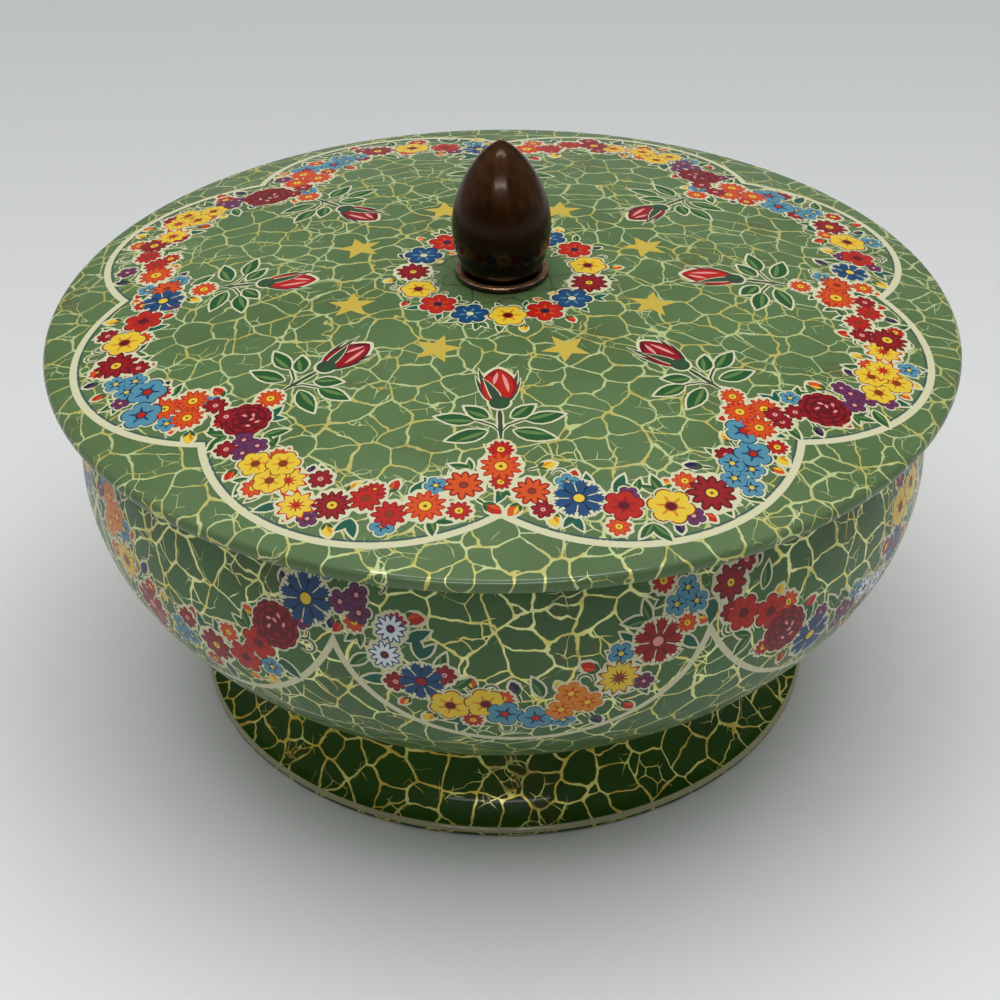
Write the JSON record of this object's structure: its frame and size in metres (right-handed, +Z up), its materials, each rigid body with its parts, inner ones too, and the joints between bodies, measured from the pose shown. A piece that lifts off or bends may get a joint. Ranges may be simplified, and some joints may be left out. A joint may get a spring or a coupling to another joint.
{
  "type": "candy tin",
  "caption": "Round footed tin for sweets with a lift-off domed lid, an egg-shaped knob on a screw, a hemmed foot ring and a printed crackle and flower pattern.",
  "frame": {"origin": "centre of the standing ring, on the surface that the tin stands on", "axes": "+Z up along the tin's axis, through the knob; -Y towards the side that the picture shows"},
  "size_m": [0.2024, 0.2024, 0.132],
  "materials": {
    "litho_green": "glossy print under varnish on tinplate",
    "litho_dark_green": "glossy print under varnish on tinplate",
    "plain_tin": "bare tinplate with a faint gold lacquer",
    "dark_brown": "glossy, very dark brown",
    "bronze_brown": "dark bronze lacquer, worn along its lip",
    "brass": "turned",
    "steel": "zinc plated"
  },
  "bodies": {
    "bowl": {"bowl": "litho_green", "foot_ring": "litho_dark_green"},
    "lid": {"lid_panel": "litho_green", "lid_ring": "plain_tin", "knob_saucer": "bronze_brown", "knob": "dark_brown", "knob_insert": "brass", "screw_washer": "steel", "knob_screw": "steel"}
  },
  "joints": [
    {"name": "lid_lift", "type": "slide", "parent": "bowl", "child": "lid", "axis": [0, 0, 1], "range_m": [0, 0.07]}
  ]
}
